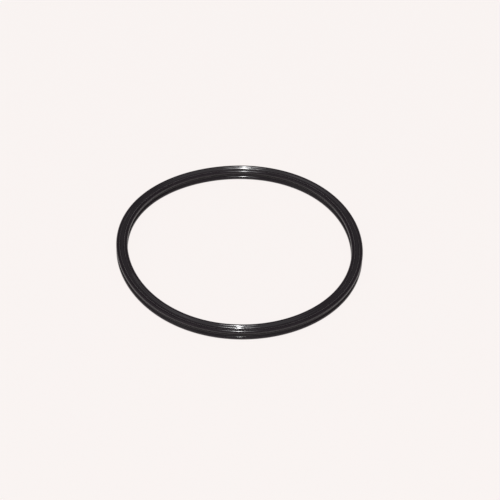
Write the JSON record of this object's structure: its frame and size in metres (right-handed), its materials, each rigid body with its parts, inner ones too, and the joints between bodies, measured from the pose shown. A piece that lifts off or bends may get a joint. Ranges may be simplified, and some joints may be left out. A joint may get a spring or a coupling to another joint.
{
  "type": "x-ring seal",
  "caption": "Moulded rubber sealing ring with a lobed X-shaped section, squeezed in a groove to seal a rod or piston on the crests of its lobes.",
  "frame": {"origin": "centre of the ring, on its axis and halfway up its section", "axes": "+Z along the ring's axis, up from the surface that the ring lies on; the ring is round, so +X and +Y are any two directions across it"},
  "size_m": [0.1148, 0.1148, 0.0054],
  "materials": {
    "rubber": "gloss"
  },
  "bodies": {
    "root": {"x_ring": "rubber"}
  },
  "joints": []
}
